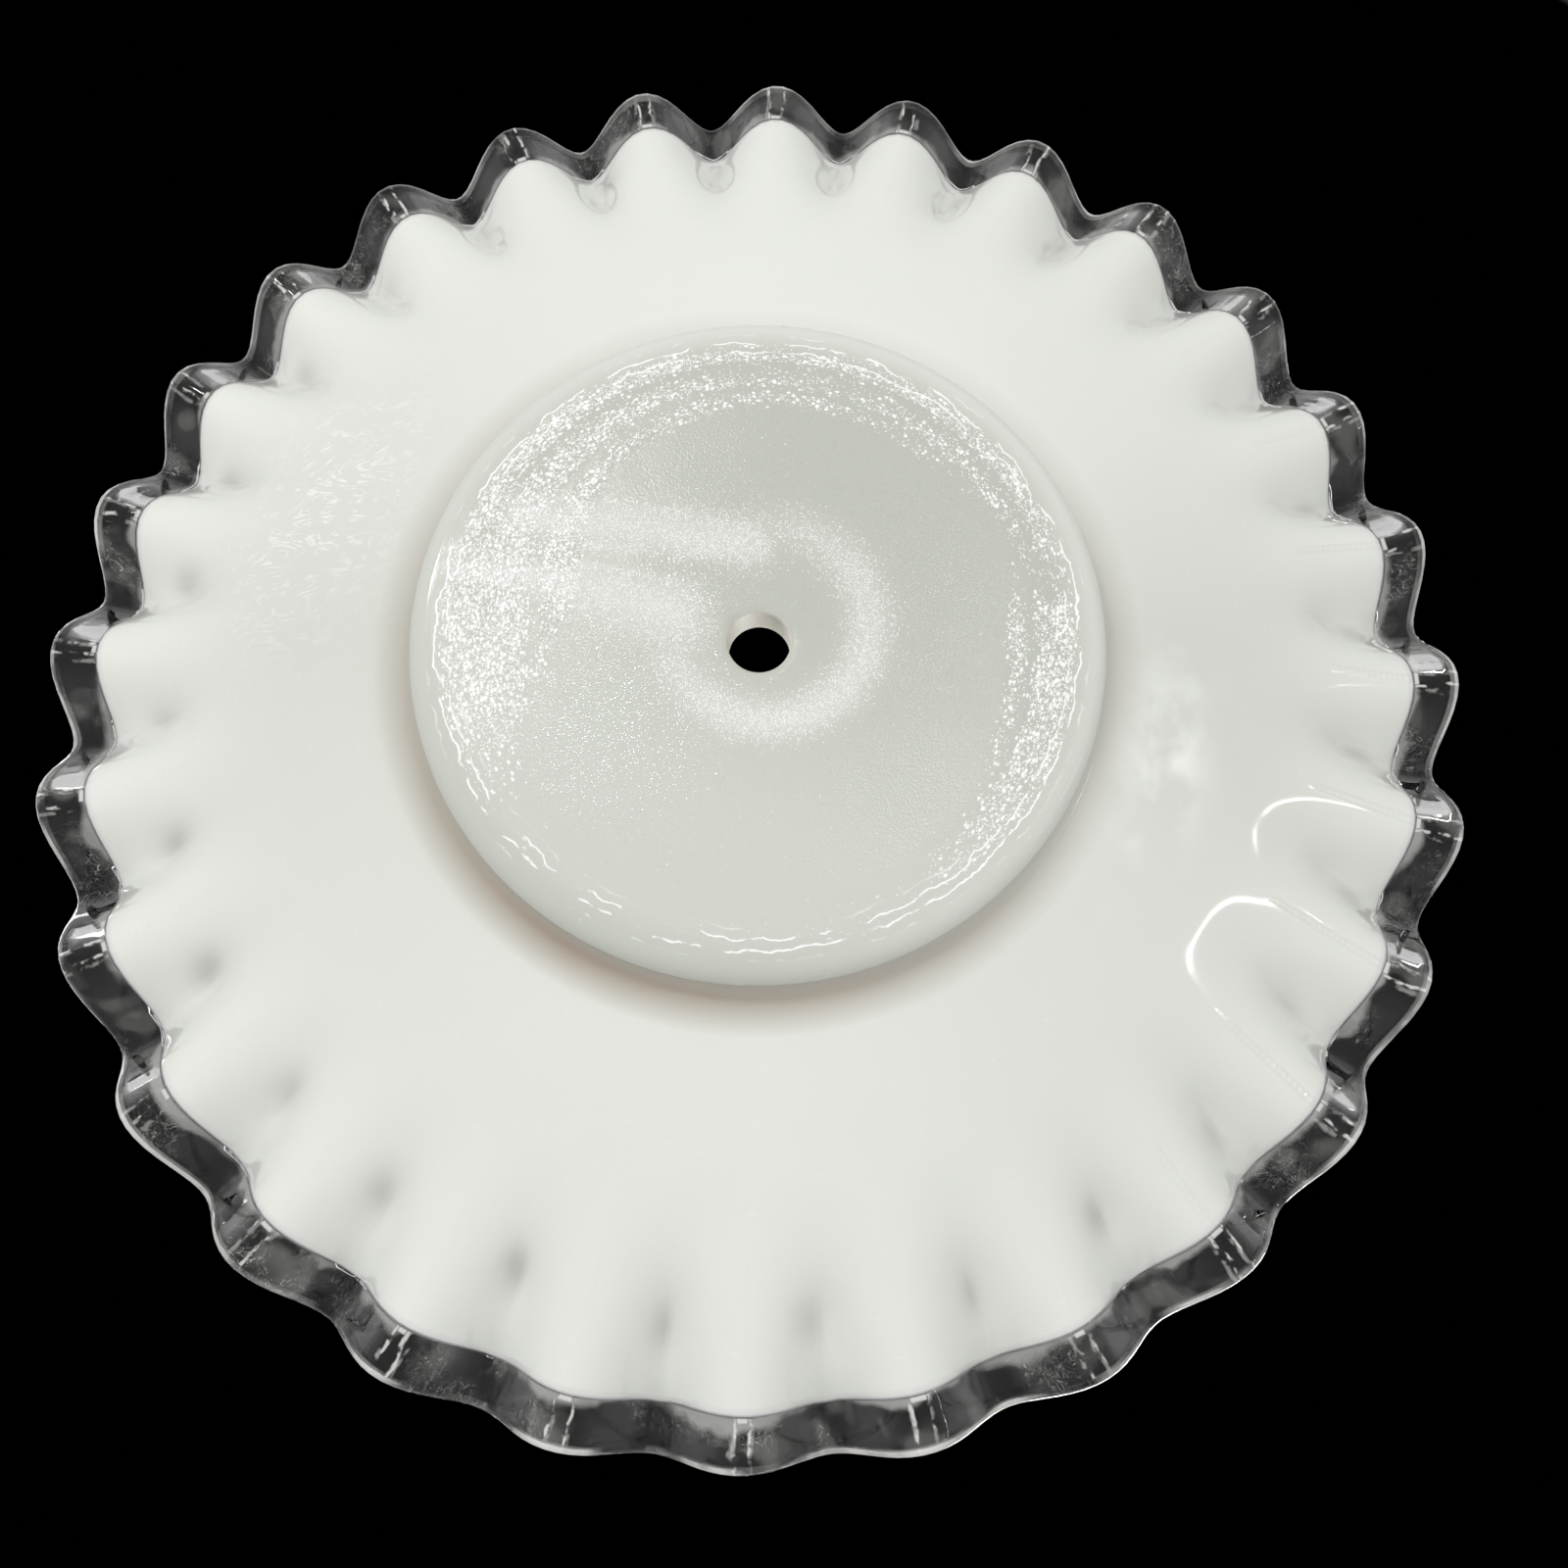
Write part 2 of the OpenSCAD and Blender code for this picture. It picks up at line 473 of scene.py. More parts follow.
@dataclass
class SpunGlass:
    """A closed section spun round the plate's axis, with the rule that shapes it afterwards."""

    name: str
    form: PlateForm

    def section(self) -> Profile:
        """The piece's closed half section, before crimping."""
        raise NotImplementedError

    def shape(self, co: np.ndarray) -> np.ndarray:
        """Moves the spun points to where the finished glass has them."""
        raise NotImplementedError

    def spin(self, section: Profile) -> bmesh.types.BMesh:
        """Spins a closed section, given as radius and height, a full turn.

        Args:
            section: the points of the closed section.

        Returns:
            The spun mesh, in millimetres.
        """
        bm = bmesh.new()
        verts = [bm.verts.new((r, 0.0, z)) for r, z in section]
        edges = [bm.edges.new((verts[i - 1], verts[i])) for i in range(len(verts))]
        bmesh.ops.spin(
            bm, geom=verts + edges, cent=(0, 0, 0), axis=(0, 0, 1),
            angle=FULL_TURN, steps=self.form.steps, use_merge=True, use_duplicate=False,
        )
        bmesh.ops.recalc_face_normals(bm, faces=bm.faces)
        return bm

    def stations(self, co: np.ndarray) -> tuple[np.ndarray, np.ndarray]:
        """Foot on the cone, and distance off it, of points of the uncrimped plate.

        Args:
            co: one row of x, y, z for each point.

        Returns:
            The radius of each point's foot on the mid-surface, and its signed distance off it.
        """
        form = self.form
        turn = math.radians(form.cone_angle)
        r = np.hypot(co[:, 0], co[:, 1])
        off = (co[:, 2] - (form.cone_z + form.cone_slope * (r - form.shoulder_r))) * math.cos(turn)
        return r + off * math.sin(turn), off

    def marks(
        self, co: np.ndarray, station: np.ndarray, off: np.ndarray
    ) -> dict[Mark, np.ndarray]:
        """The marks that the piece's material reads."""
        return {Mark.RUN: station * MM}

    def build(self) -> bpy.types.Object:
        """Makes the piece, in metres, with its marks.

        Returns:
            The finished object.
        """
        bm = self.spin(self.section())
        mesh = bpy.data.meshes.new(self.name)
        bm.to_mesh(mesh)
        bm.free()
        co = np.empty(len(mesh.vertices) * 3)
        mesh.vertices.foreach_get("co", co)
        co = co.reshape(-1, 3)
        station, off = self.stations(co)
        shaped = self.shape(co) * MM
        mesh.vertices.foreach_set("co", shaped.ravel())
        for mark, values in self.marks(co, station, off).items():
            layer = mesh.attributes.new(mark.value, "FLOAT", "POINT")
            layer.data.foreach_set("value", np.asarray(values, dtype=np.float32))
        mesh.update()
        mesh.shade_smooth()
        piece = bpy.data.objects.new(self.name, mesh)
        bpy.context.scene.collection.objects.link(piece)
        LOG.info("%s: %d points, %d faces", self.name, len(mesh.vertices), len(mesh.polygons))
        return piece

    def dress(self, material: bpy.types.Material, slot: str, nodes: Sequence[str]) -> None:
        """Builds the piece and gives it its material and its place in the frame.

        Args:
            material: its material.
            slot: the record's material slot; not used.
            nodes: the solids that it stands for.
        """
        piece = self.build()
        piece.data.materials.append(material)
        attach(piece, "root")
        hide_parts(*nodes)


@dataclass
class OpalBody(SpunGlass):
    """The white body: foot pad, well and crimped wall in one piece of glass."""

    hole_lip: float = 0.45
    edge_tuck: float = 1.1
    well_corner_r: float = 22.0
    chip_r: float = 1.9
    chip_depth: float = 0.5
    chip_at: tuple[float, float] = (4.9, 4.2)

    def section(self) -> Profile:
        """The body's closed half section, before crimping.

        Returns:
            Radius and height of its points.
        """
        f = self.form
        tilt = f.cone_angle
        hollow_r = (f.rest_inner_r**2 + f.foot_hollow**2) / (2 * f.foot_hollow)
        half_turn = math.degrees(math.asin(f.rest_inner_r / hollow_r))
        first_turn = math.degrees(math.asin((f.hole_r + self.hole_lip) / hollow_r))
        hollow = arc((0, f.foot_hollow - hollow_r), hollow_r, 90 - first_turn, 90 - half_turn, 38)
        rest_outer = f.foot_r - f.foot_roll
        points: Profile = [(f.hole_r, hollow[0][1] + self.hole_lip)]
        points += hollow
        points += line(hollow[-1], (rest_outer, 0), 14)[:-1]
        points += arc((rest_outer, f.foot_roll), f.foot_roll, -90, 0, 12)
        corner = (f.foot_r + f.corner_r, f.shoulder_z - f.corner_r)
        points += arc(corner, f.corner_r, 180, 90 + tilt, 9)
        under = [f.on_cone(r, -f.glass_t(r) / 2) for r in self.wall_radii()]
        over = [f.on_cone(r, f.glass_t(r) / 2) for r in reversed(self.wall_radii())]
        points += under + self.edge() + over
        soft = (f.foot_r - 4, f.floor_z + self.well_corner_r)
        points += arc(soft, self.well_corner_r, -90 + tilt, -90, 8)
        points += line(points[-1], (f.hole_r + self.hole_lip, f.floor_z), 16)
        points += [(f.hole_r, f.floor_z - self.hole_lip)]
        points += line(points[-1], points[0], 6)[:-1]
        return points

    def wall_radii(self) -> list[float]:
        """Radii along the wall, closer where the crimps are deep.

        Returns:
            The radii, from the shoulder outwards.
        """
        f = self.form
        end = f.crest_in_r - self.edge_tuck
        plain = [f.shoulder_r + 2 + (f.join_r - f.shoulder_r - 2) * i / 7 for i in range(7)]
        worked = [f.join_r + (end - f.join_r) * i / 40 for i in range(41)]
        return plain + worked

    def edge(self) -> Profile:
        """The white glass's rounded end, which the clear crest covers.

        Returns:
            Radius and height of its points, from the underside round to the top.
        """
        f = self.form
        half = f.glass_t(f.crest_in_r) / 2
        turns = [math.radians(t) for t in (-65, -40, -15, 15, 40, 65)]
        return [
            f.on_cone(f.crest_in_r - self.edge_tuck + 1.9 * math.cos(t), half * math.sin(t))
            for t in turns
        ]

    def shape(self, co: np.ndarray) -> np.ndarray:
        """Moves the hole off centre, then works the wall into crimps.

        Args:
            co: one row of x, y, z for each spun point.

        Returns:
            The same points where the finished glass has them.
        """
        f = self.form
        r = np.hypot(co[:, 0], co[:, 1])
        a = np.arctan2(co[:, 1], co[:, 0])
        station, off = self.stations(co)
        turn = f.turned(a)
        moved = np.stack([r * np.cos(turn), r * np.sin(turn), co[:, 2]], axis=1)
        moved[:, 1] -= f.hole_off * (1 - ease((r - f.hole_r - 1) / 30))
        moved += self.chip(moved)
        return f.crimp(moved, off, station, a)

    def chip(self, co: np.ndarray) -> np.ndarray:
        """Small shell-shaped chip that the drill left in the hole's lower edge.

        Args:
            co: one row of x, y, z for each point.

        Returns:
            How far each point moves.
        """
        f = self.form
        place = np.array([self.chip_at[0], self.chip_at[1] - f.hole_off, f.foot_hollow])
        near = np.linalg.norm(co - place, axis=1)
        depth = self.chip_depth * np.clip(1 - near / self.chip_r, 0, 1)
        out = np.stack([co[:, 0], co[:, 1] + f.hole_off, np.zeros(len(co))], axis=1)
        out /= np.maximum(np.linalg.norm(out, axis=1), 1e-6)[:, None]
        lift = np.stack([np.zeros(len(co)), np.zeros(len(co)), 0.8 * depth], axis=1)
        return out * depth[:, None] * 0.9 + lift

    def marks(
        self, co: np.ndarray, station: np.ndarray, off: np.ndarray
    ) -> dict[Mark, np.ndarray]:
        """The marks that the piece's material reads."""
        return PressedMarks(self.form, co, station, off).all()


@dataclass
class ClearCrest(SpunGlass):
    """The clear glass spun on the edge of the white body."""

    overlap: float = 1.6
    skin: float = 0.06

    def section(self) -> Profile:
        """The crest's closed section, before crimping, with its round outer edge.

        Returns:
            Radius and height of its points.
        """
        f = self.form
        half = f.crest_t / 2
        start = f.crest_in_r - self.overlap
        end = f.tip_r - half
        radii = [start + (end - start) * i / 10 for i in range(11)]
        halves = [half - self.skin * (1 if r < f.crest_in_r else 0) for r in radii]
        under = [f.on_cone(r, -h) for r, h in zip(radii, halves)]
        over = [f.on_cone(r, h) for r, h in zip(radii, halves)]
        turns = [math.radians(-90 + 180 * i / 10) for i in range(1, 10)]
        cap = [f.on_cone(end + half * math.cos(t), half * math.sin(t)) for t in turns]
        return under + cap + over[::-1]

    def shape(self, co: np.ndarray) -> np.ndarray:
        """Works the crest into crimps, a little uneven as hand-spun glass is.

        Args:
            co: one row of x, y, z for each spun point.

        Returns:
            The same points where the finished glass has them.
        """
        f = self.form
        a = np.arctan2(co[:, 1], co[:, 0])
        station, off = self.stations(co)
        uneven = 1 - 0.05 * (1 + np.sin(9 * a + 1.3) * np.sin(4 * a))
        reach = np.maximum(0, station - f.crest_in_r)
        station = station - reach * 0.05 * (1 + np.sin(17 * a) * np.sin(5 * a + 0.7)) / 2
        return f.crimp(co, off * uneven, station, a)


@dataclass
class CrestBloom(ClearCrest):
    """Thin skin of scratches, bloom and painted highlights over the clear crest."""

    overlap: float = 0.2
    skin: float = 0.0
    lift: float = 0.02

    def shape(self, co: np.ndarray) -> np.ndarray:
        """Follows the crest's surface, a hair above it.

        Args:
            co: one row of x, y, z for each spun point.

        Returns:
            The same points where the finished skin has them.
        """
        f = self.form
        centre = f.on_cone(f.tip_r - f.crest_t / 2, 0)
        r = np.hypot(co[:, 0], co[:, 1])
        out = r - centre[0]
        rise = co[:, 2] - centre[1]
        near = np.maximum(np.hypot(out, rise), 1e-6)
        grown = co.copy()
        cap = out > 0
        grow = np.where(cap, self.lift * out / near, 0)
        grown[:, :2] *= (1 + grow / r)[:, None]
        grown[:, 2] += np.where(cap, self.lift * rise / near, self.lift * np.sign(rise))
        return super().shape(grown)


class ShaderGraph:
    """Short ways to place and join a material's nodes."""

    def __init__(self, tree: bpy.types.NodeTree) -> None:
        """Keeps the node tree that it works on."""
        self.tree = tree

    def add(self, kind: str, **values: object) -> bpy.types.Node:
        """Adds a node and sets its properties.

        Args:
            kind: the node's type.
            **values: its properties, by name.

        Returns:
            The node.
        """
        node = self.tree.nodes.new(kind)
        for key, value in values.items():
            setattr(node, key, value)
        return node

    def join(self, source: Socket, target: Socket) -> None:
        """Links one socket to another."""
        self.tree.links.new(source, target)

    def feed(self, value: object, target: Socket) -> None:
        """Gives an input its value.

        Args:
            value: a socket, a number or a colour.
            target: the input.
        """
        if isinstance(value, Socket):
            self.join(value, target)
        else:
            target.default_value = value

    def math(self, operation: str, first: object, second: object = 0.0) -> Socket:
        """A maths node.

        Args:
            operation: the node's operation.
            first: a socket or a number.
            second: a socket or a number.

        Returns:
            The result's socket.
        """
        node = self.add("ShaderNodeMath", operation=operation)
        self.feed(first, node.inputs[0])
        self.feed(second, node.inputs[1])
        return node.outputs[0]

    def times(self, first: object, second: object) -> Socket:
        """Product of two values."""
        return self.math("MULTIPLY", first, second)

    def plus(self, first: object, second: object) -> Socket:
        """Sum of two values."""
        return self.math("ADD", first, second)

    def minus(self, first: object, second: object) -> Socket:
        """The first value less the second."""
        return self.math("SUBTRACT", first, second)

    def most(self, first: object, second: object) -> Socket:
        """The greater of two values."""
        return self.math("MAXIMUM", first, second)

    def mark(self, mark: Mark) -> Socket:
        """A mark's value on the piece."""
        kind = "ShaderNodeAttribute"
        return self.add(kind, attribute_type="GEOMETRY", attribute_name=mark.value).outputs["Fac"]

    def noise(
        self, vector: Socket, scale: float, detail: float = 2.0, distortion: float = 0.0
    ) -> Socket:
        """A noise texture.

        Args:
            vector: where to read it.
            scale: its coarsest waves per metre.
            detail: how many finer waves it adds.
            distortion: how far it is warped.

        Returns:
            Its value, from 0 to 1.
        """
        node = self.add("ShaderNodeTexNoise")
        node.inputs["Scale"].default_value = scale
        node.inputs["Detail"].default_value = detail
        node.inputs["Distortion"].default_value = distortion
        self.join(vector, node.inputs["Vector"])
        return node.outputs["Fac"]

    def cells(self, vector: Socket, scale: float) -> tuple[Socket, Socket]:
        """Round cells.

        Args:
            vector: where to read them.
            scale: cells per metre.

        Returns:
            The distance from each cell's middle, and a number from 0 to 1 of its own.
        """
        node = self.add("ShaderNodeTexVoronoi")
        node.inputs["Scale"].default_value = scale
        self.join(vector, node.inputs["Vector"])
        split = self.add("ShaderNodeSeparateColor")
        self.join(node.outputs["Color"], split.inputs[0])
        return node.outputs["Distance"], split.outputs[0]

    def band(self, value: Socket, low: float, high: float) -> Socket:
        """Smooth mask.

        Args:
            value: what it depends on.
            low: the value where it is 0.
            high: the value where it is 1.

        Returns:
            The mask.
        """
        node = self.add("ShaderNodeMapRange", interpolation_type="SMOOTHSTEP")
        node.inputs["From Min"].default_value = low
        node.inputs["From Max"].default_value = high
        self.join(value, node.inputs["Value"])
        return node.outputs["Result"]

    def flecks(self, vector: Socket, scale: float, share: Socket) -> Socket:
        """Round flecks.

        Args:
            vector: where to read them.
            scale: places for a fleck, per metre.
            share: how many of the places have one, from 0 to 1.

        Returns:
            The flecks, 1 where there is one.
        """
        away, own = self.cells(vector, scale)
        on = self.band(self.minus(share, own), -0.02, 0.06)
        return self.times(on, self.band(away, 0.55, 0.25))

    def polar(self, place: Socket, stretch: float) -> tuple[Socket, Socket]:
        """Place round the plate's axis.

        Args:
            place: the place, in metres.
            stretch: the way round that counts as one radian, in metres.

        Returns:
            The way round and the radius as a vector, and the radius alone.
        """
        split = self.add("ShaderNodeSeparateXYZ")
        self.join(place, split.inputs[0])
        x, y = split.outputs["X"], split.outputs["Y"]
        radius = self.math("SQRT", self.plus(self.times(x, x), self.times(y, y)))
        both = self.add("ShaderNodeCombineXYZ")
        self.join(self.times(self.math("ARCTAN2", y, x), stretch), both.inputs[0])
        self.join(radius, both.inputs[1])
        return both.outputs[0], radius

    def group(self, tree: bpy.types.NodeTree, source: Socket) -> Socket:
        """Places a node group.

        Args:
            tree: the group, which has one input and one output.
            source: what it reads.

        Returns:
            Its result.
        """
        node = self.add("ShaderNodeGroup", node_tree=tree)
        self.join(source, node.inputs[0])
        return node.outputs[0]

    def bump(self, height: Socket, distance: float, normal: object = None) -> Socket:
        """A bump node over an earlier normal.

        Args:
            height: the height, where 1 stands for the whole distance.
            distance: that distance, in metres.
            normal: the earlier normal, if there is one.

        Returns:
            The new normal.
        """
        node = self.add("ShaderNodeBump")
        node.inputs["Distance"].default_value = distance
        self.join(height, node.inputs["Height"])
        if normal is not None:
            self.join(normal, node.inputs["Normal"])
        return node.outputs["Normal"]

    def mix(self, share: object, first: object, second: object) -> Socket:
        """A colour mix.

        Args:
            share: socket or number, 0 for the first colour and 1 for the second.
            first: a socket or a colour.
            second: a socket or a colour.

        Returns:
            The mixed colour's socket.
        """
        node = self.add("ShaderNodeMix", data_type="RGBA")
        for index, value in ((0, share), (6, first), (7, second)):
            self.feed(value, node.inputs[index])
        return node.outputs[2]


def new_material(name: str) -> tuple[bpy.types.Material, ShaderGraph, bpy.types.Node]:
    """Starts a material.

    Args:
        name: its name.

    Returns:
        The material, its graph and its principled shader.
    """
    made = bpy.data.materials.new(name)
    made.use_nodes = True
    return made, ShaderGraph(made.node_tree), made.node_tree.nodes["Principled BSDF"]


@dataclass(frozen=True)
class FoldPattern:
    """Node group that says how far round from its nearest ridge a place is.

    It is 0 on a ridge and pi in the middle of a fold.
    """

    form: PlateForm

    def tree(self) -> bpy.types.NodeTree:
        """Builds the group.

        Returns:
            The group, with the input Place and the output Fold.
        """
        made = bpy.data.node_groups.new("fold_pattern", "ShaderNodeTree")
        made.interface.new_socket("Place", in_out="INPUT", socket_type="NodeSocketVector")
        made.interface.new_socket("Fold", in_out="OUTPUT", socket_type="NodeSocketFloat")
        graph = ShaderGraph(made)
        split = graph.add("ShaderNodeSeparateXYZ")
        graph.join(graph.add("NodeGroupInput").outputs["Place"], split.inputs[0])
        turn = graph.math("ARCTAN2", split.outputs["Y"], split.outputs["X"])
        centre = [c / self.form.tip_r for c in self.form.crimp_centre]
        x = graph.minus(graph.math("COSINE", turn), centre[0])
        y = graph.minus(graph.math("SINE", turn), centre[1])
        tool = graph.minus(graph.math("ARCTAN2", y, x), math.radians(self.form.first_tip))
        wave = graph.math("COSINE", graph.times(tool, self.form.crimps))
        fold = graph.math("ARCCOSINE", graph.times(wave, 0.99999))
        graph.join(fold, graph.add("NodeGroupOutput").inputs["Fold"])
        return made


@dataclass(frozen=True)
class OpalFinish:
    """Dense white pressed glass with a fire-polished gloss, the marks of its making, and painted
    glints and shade.

    Scales are in waves or cells per metre, gaps and depths in metres.
    """

    body: Colour = (0.80, 0.81, 0.775, 1.0)
    cloud: Colour = (0.77, 0.785, 0.74, 1.0)
    # Grey of the thick foot, also used for the painted shade on the disc, the roll and the wall.
    foot: Colour = (0.515, 0.53, 0.48, 1.0)
    # White of the painted glints, sheen and reflection.
    fleck: Colour = (0.98, 0.98, 0.975, 1.0)
    # Painted shade in the crimping pits.
    pit_shade: Colour = (0.36, 0.36, 0.33, 1.0)
    bore: Colour = (0.62, 0.60, 0.54, 1.0)
    # Painted contact shadow beside the foot, in a beige, dusty tint.
    dust_and_shadow: Colour = (0.36, 0.30, 0.235, 1.0)
    rust: Colour = (0.30, 0.20, 0.13, 1.0)
    lilac: Colour = (0.62, 0.59, 0.63, 1.0)
    roughness: float = 0.08
    coarse_fleck: float = 1450.0
    small_fleck: float = 2600.0
    fine_fleck: float = 3000.0
    line_gap: float = 0.0021
    line_wander: float = 0.0042
    ripple_gap: float = 0.0017
    wave_depth: float = 0.00015
    wrinkle_depth: float = 0.00003
    bead_depth: float = 0.0003
    hammer_depth: float = 0.0004
    grain_depth: float = 0.00014

    def colour(self, graph: ShaderGraph, place: Socket, light: Socket) -> Socket:
        """The glass's colour, with painted glints, painted shade on the foot and wall, in the pits
        and in the corner beside the foot, the ground bore and a few rust specks.

        Args:
            graph: the material's graph.
            place: where to read the patterns.
            light: how much painted highlight whitens it.

        Returns:
            The colour.
        """
        tone = graph.mix(graph.noise(place, scale=22.0, detail=3.0), self.body, self.cloud)
        # Grey foot, with painted shade on the disc, the roll and the wall's sides.
        tone = graph.mix(graph.mark(Mark.FOOT_GREY_AND_SHADE), tone, self.foot)
        # Painted glints, sheen and reflection, in white.
        tone = graph.mix(light, tone, self.fleck)
        # Painted shade in the crimping pits.
        tone = graph.mix(graph.times(graph.mark(Mark.PIT_SHADE), 0.5), tone, self.pit_shade)
        # Painted contact shadow in the corner beside the foot, beige and dusty in tint.
        tone = graph.mix(graph.times(graph.mark(Mark.CREASE_SHADOW), 0.75), tone, self.dust_and_shadow)
        tone = graph.mix(graph.mark(Mark.GROUND), tone, self.bore)
        tone = graph.mix(graph.mark(Mark.TUCK), tone, self.lilac)
        away, own = graph.cells(place, scale=220.0)
        dot = graph.times(graph.band(own, 0.90, 0.91), graph.band(away, 0.16, 0.08))
        return graph.mix(graph.times(dot, graph.mark(Mark.ROLL)), tone, self.rust)

    def flecks(self, graph: ShaderGraph, place: Socket) -> tuple[Socket, Socket]:
        """Chill marks, the masks of the painted glints.

        Args:
            graph: the material's graph.
            place: where to read the patterns.

        Returns:
            The coarse marks with the thin lines, and the fine marks.
        """
        round_place, length = graph.polar(place, stretch=0.034)
        coarse = graph.flecks(round_place, self.coarse_fleck, graph.mark(Mark.FROST_AND_GLITTER))
        small = graph.flecks(place, self.small_fleck, graph.mark(Mark.FROST_AND_GLITTER))
        coarse = graph.most(coarse, small)
        fine = graph.flecks(place, self.fine_fleck, graph.mark(Mark.SATIN_AND_SHEEN))
        wander = graph.times(graph.noise(place, scale=150.0, detail=5.0), self.line_wander)
        ring = graph.plus(length, wander)
        wave = graph.math("SINE", graph.times(ring, FULL_TURN / self.line_gap))
        broken = graph.band(graph.noise(place, scale=130.0, detail=5.0), 0.44, 0.50)
        line = graph.times(graph.band(wave, 0.78, 0.93), broken)
        line = graph.times(line, graph.mark(Mark.GLINT_LINES))
        return graph.most(coarse, line), fine

    def wrinkles(self, graph: ShaderGraph, place: Socket) -> Socket:
        """Wood-like wrinkles.

        Args:
            graph: the material's graph.
            place: where to read the patterns.

        Returns:
            Their height, from 0 to 1.
        """
        drawn = graph.add("ShaderNodeMapping")
        drawn.inputs["Rotation"].default_value = (0.0, 0.0, 0.3)
        drawn.inputs["Scale"].default_value = (0.5, 1.3, 1.0)
        graph.join(place, drawn.inputs["Vector"])
        grown = graph.noise(drawn.outputs[0], scale=95.0, detail=6.0, distortion=1.0)
        bands = graph.math("SINE", graph.times(grown, 70.0))
        broken = graph.band(graph.noise(place, scale=260.0, detail=4.0), 0.42, 0.60)
        wrinkle = graph.times(graph.band(bands, 0.2, 1.0), broken)
        return graph.times(wrinkle, graph.mark(Mark.WRINKLE_AND_SHIMMER))

    def light(self, graph: ShaderGraph, place: Socket, wrinkle: Socket) -> Socket:
        """How much painted highlight whitens the glass: glitter on the chill marks, sheen on the
        satin, shimmer on the wrinkles and a painted reflection beside the foot.

        Args:
            graph: the material's graph.
            place: where to read the patterns.
            wrinkle: the wrinkles' height.

        Returns:
            The share of white, from 0 to 1.
        """
        coarse, fine = self.flecks(graph, place)
        light = graph.most(coarse, graph.times(fine, 0.85))
        light = graph.most(light, graph.times(graph.mark(Mark.SATIN_AND_SHEEN), 0.26))
        light = graph.most(light, graph.times(wrinkle, 0.6))
        # Painted reflection: a soft pool of light on the patch beside the foot.
        reflection_pool = graph.band(graph.noise(place, scale=70.0, detail=3.0), 0.42, 0.66)
        reflection_pool = graph.times(graph.times(reflection_pool, graph.mark(Mark.PAINTED_REFLECTION)), 0.75)
        return graph.most(light, reflection_pool)

    def relief(self, graph: ShaderGraph, place: Socket, wrinkle: Socket, phase: Socket) -> Socket:
        """The surface's relief: waviness, wrinkles, beaded ridges, hammered frost and grain.

        Args:
            graph: the material's graph.
            place: where to read the patterns.
            wrinkle: the wrinkles' height.
            phase: the fold pattern's value.

        Returns:
            The normal.
        """
        normal = graph.bump(graph.noise(place, scale=38.0, detail=2.0), self.wave_depth)
        normal = graph.bump(wrinkle, self.wrinkle_depth, normal)
        ripple = graph.times(graph.mark(Mark.RUN), FULL_TURN / self.ripple_gap)
        ripple = graph.plus(graph.times(graph.math("SINE", ripple), 0.10), 0.9)
        bead = graph.times(graph.band(phase, 0.26, 0.0), ripple)
        normal = graph.bump(graph.times(bead, graph.mark(Mark.RIDGE)), self.bead_depth, normal)
        hammered = graph.minus(graph.noise(place, scale=1300.0, detail=2.0), 0.5)
        hammered = graph.times(hammered, graph.mark(Mark.FROST_AND_GLITTER))
        normal = graph.bump(hammered, self.hammer_depth, normal)
        grain = graph.minus(graph.noise(place, scale=2200.0, detail=1.0), 0.5)
        rubbed = graph.most(graph.times(graph.mark(Mark.PAD), 0.35), graph.mark(Mark.SATIN_AND_SHEEN))
        return graph.bump(graph.times(grain, rubbed), self.grain_depth, normal)

    def material(self, fold: bpy.types.NodeTree) -> bpy.types.Material:
        """Builds the white glass.

        Args:
            fold: the fold pattern, which places the ripples along the ridges.

        Returns:
            The material.
        """
        made, graph, shader = new_material("opal_glass")
        place = graph.add("ShaderNodeTexCoord").outputs["Object"]
        wrinkle = self.wrinkles(graph, place)
        light = self.light(graph, place, wrinkle)
        graph.join(self.colour(graph, place, light), shader.inputs["Base Color"])
        satin = graph.times(graph.mark(Mark.SATIN_AND_SHEEN), 0.12)
        rough = graph.plus(graph.times(graph.mark(Mark.GROUND), 0.5), satin)
        graph.join(graph.plus(rough, self.roughness), shader.inputs["Roughness"])
        shader.inputs["IOR"].default_value = 1.5
        shader.inputs["Subsurface Weight"].default_value = 0.3
        shader.inputs["Subsurface Radius"].default_value = (1.0, 1.0, 0.95)
        shader.inputs["Subsurface Scale"].default_value = 0.003
        relief = self.relief(graph, place, wrinkle, graph.group(fold, place))
        graph.join(relief, shader.inputs["Normal"])
        return made


@dataclass(frozen=True)
class ClearFinish:
    """Clear fire-polished glass with fine cords."""

    tint: Colour = (0.97, 0.985, 0.98, 1.0)
    sheen: Colour = (0.5, 0.5, 0.5, 1.0)
    roughness: float = 0.02
    cord_depth: float = 0.0004

    def material(self) -> bpy.types.Material:
        """Builds the clear glass.

        Returns:
            The material.
        """
        made, graph, shader = new_material("clear_glass")
        shader.inputs["Base Color"].default_value = self.tint
        shader.inputs["Roughness"].default_value = self.roughness
        shader.inputs["IOR"].default_value = 1.5
        shader.inputs["Transmission Weight"].default_value = 1.0
        shader.inputs["Specular Tint"].default_value = self.sheen
        place = graph.add("ShaderNodeTexCoord").outputs["Object"]
        cords = graph.noise(place, scale=70.0, detail=1.0)
        graph.join(graph.bump(cords, self.cord_depth), shader.inputs["Normal"])
        return made


